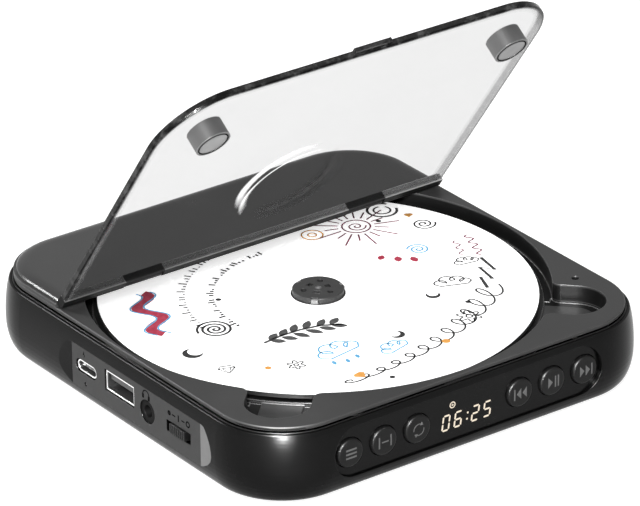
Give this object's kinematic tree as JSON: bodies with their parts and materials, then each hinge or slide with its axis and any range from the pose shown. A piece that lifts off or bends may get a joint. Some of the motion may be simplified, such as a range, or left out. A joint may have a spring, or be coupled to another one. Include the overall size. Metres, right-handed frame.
{
  "type": "wall mounted cd player",
  "caption": "Square portable disc player with rounded swelling sides, a clear hinged lid, round front keys, side ports and keyholes for a wall.",
  "frame": {"origin": "on the table under the middle of the body, in the plane of the feet", "axes": "+Z up out of the deck, -Y towards the front side with the keys, -X towards the side with the ports; on a wall +Y points up"},
  "size_m": [0.1342, 0.136, 0.1029],
  "materials": {
    "shell_plastic": "satin dark grey, fine grain",
    "seam_plastic": "dark grey, glossy",
    "deck_plastic": "matt grey, fine grain",
    "cover_gloss": "glossy grey",
    "hinge_black": "black, satin",
    "steel": "bright steel",
    "magnet": "nickel plated",
    "rubber": "matt black",
    "clear_lid": "clear, polished",
    "post_grey": "satin grey",
    "disc_white": "white printed face with clear edge",
    "hub_grey": "satin grey",
    "claw_grey": "satin grey",
    "motor_metal": "satin metal",
    "plate_steel": "zinc plated sheet",
    "sled_plastic": "black, glass filled",
    "lens_clear": "coated lens in a dark holder",
    "panel_gloss": "glossy black window",
    "key_black": "glossy black",
    "board": "green solder mask",
    "port_metal": "bright plated",
    "light_pipe": "clear",
    "battery_wrap": "foil pouch"
  },
  "bodies": {
    "base": {"bottom_shell": "shell_plastic", "seam_ring": "seam_plastic", "deck": "deck_plastic", "rear_cover": "cover_gloss", "hinge_knuckles": "hinge_black", "hinge_screws": "steel", "hinge_pins": "steel", "catch_magnets": "magnet", "feet": "rubber", "case_screws": "steel", "spindle_motor": "motor_metal", "chassis": "plate_steel", "dampers": "rubber", "damper_screws": "steel", "guide_rods": "steel", "sled_motor": "motor_metal", "key_panel": "panel_gloss", "key_board": "board", "tact_switches": "motor_metal", "display_module": "hinge_black", "main_board": "board", "board_screws": "steel", "usb_c_socket": "port_metal", "usb_a_socket": "port_metal", "headphone_jack": "hinge_black", "switch_body": "motor_metal", "charge_light": "light_pipe", "battery": "battery_wrap", "lid_sensor": "hinge_black"},
    "lid": {"lid_panel": "clear_lid", "hinge_bar": "hinge_black", "lid_posts": "post_grey", "lid_magnets": "magnet"},
    "spindle": {"spindle_hub": "hub_grey", "disc_pad": "rubber", "spindle_shaft": "steel"},
    "disc": {"disc": "disc_white"},
    "claw_1": {"hub_claw_1": "claw_grey"},
    "claw_2": {"hub_claw_2": "claw_grey"},
    "claw_3": {"hub_claw_3": "claw_grey"},
    "sled": {"pickup_sled": "sled_plastic"},
    "lens": {"pickup_lens": "lens_clear"},
    "screw": {"lead_screw": "steel"},
    "knob": {"switch_knob": "key_black"},
    "button_mode": {"key_mode": "key_black"},
    "button_section": {"key_section": "key_black"},
    "button_loop": {"key_loop": "key_black"},
    "button_back": {"key_back": "key_black"},
    "button_play": {"key_play": "key_black"},
    "button_next": {"key_next": "key_black"}
  },
  "joints": [
    {"name": "lid_hinge", "type": "hinge", "parent": "base", "child": "lid", "pos_m": [0, 0.02975, 0.024], "axis": [-1, 0, 0], "range_deg": [-54.4, 35.6]},
    {"name": "spindle_spin", "type": "hinge", "parent": "base", "child": "spindle", "pos_m": [0, -0.00035, 0.0167], "axis": [0, 0, 1], "continuous": true},
    {"name": "disc_lift", "type": "slide", "parent": "spindle", "child": "disc", "axis": [0, 0, 1], "range_m": [0, 0.002]},
    {"name": "claw_1_press", "type": "slide", "parent": "spindle", "child": "claw_1", "axis": [0.1736, -0.9848, 0], "range_m": [0, 0.0005], "stiffness_N_per_m": 300},
    {"name": "claw_2_press", "type": "slide", "parent": "spindle", "child": "claw_2", "axis": [0.766, 0.6428, 0], "range_m": [0, 0.0005], "stiffness_N_per_m": 300},
    {"name": "claw_3_press", "type": "slide", "parent": "spindle", "child": "claw_3", "axis": [-0.9397, 0.342, 0], "range_m": [0, 0.0005], "stiffness_N_per_m": 300},
    {"name": "sled_slide", "type": "slide", "parent": "base", "child": "sled", "axis": [0, 1, 0], "range_m": [0, 0.033]},
    {"name": "lead_screw_spin", "type": "hinge", "parent": "base", "child": "screw", "pos_m": [0.0225, 0.033, 0.0076], "axis": [0, 1, 0], "range_deg": [-20, 3985]},
    {"name": "lens_focus", "type": "slide", "parent": "sled", "child": "lens", "axis": [0, 0, 1], "range_m": [-0.0003, 0.0003], "stiffness_N_per_m": 30},
    {"name": "key_mode_press", "type": "slide", "parent": "base", "child": "button_mode", "axis": [0, 1, 0], "range_m": [0, 0.0004], "stiffness_N_per_m": 800},
    {"name": "key_section_press", "type": "slide", "parent": "base", "child": "button_section", "axis": [0, 1, 0], "range_m": [0, 0.0004], "stiffness_N_per_m": 800},
    {"name": "key_loop_press", "type": "slide", "parent": "base", "child": "button_loop", "axis": [0, 1, 0], "range_m": [0, 0.0004], "stiffness_N_per_m": 800},
    {"name": "key_back_press", "type": "slide", "parent": "base", "child": "button_back", "axis": [0, 1, 0], "range_m": [0, 0.0004], "stiffness_N_per_m": 800},
    {"name": "key_play_press", "type": "slide", "parent": "base", "child": "button_play", "axis": [0, 1, 0], "range_m": [0, 0.0004], "stiffness_N_per_m": 800},
    {"name": "key_next_press", "type": "slide", "parent": "base", "child": "button_next", "axis": [0, 1, 0], "range_m": [0, 0.0004], "stiffness_N_per_m": 800},
    {"name": "switch_slide", "type": "slide", "parent": "base", "child": "knob", "axis": [0, 1, 0], "range_m": [-0.0018, 0.0018]}
  ],
  "couplings": [
    {"joint": "lead_screw_spin", "follows": "sled_slide", "rad_per_m": 2094.4}
  ]
}
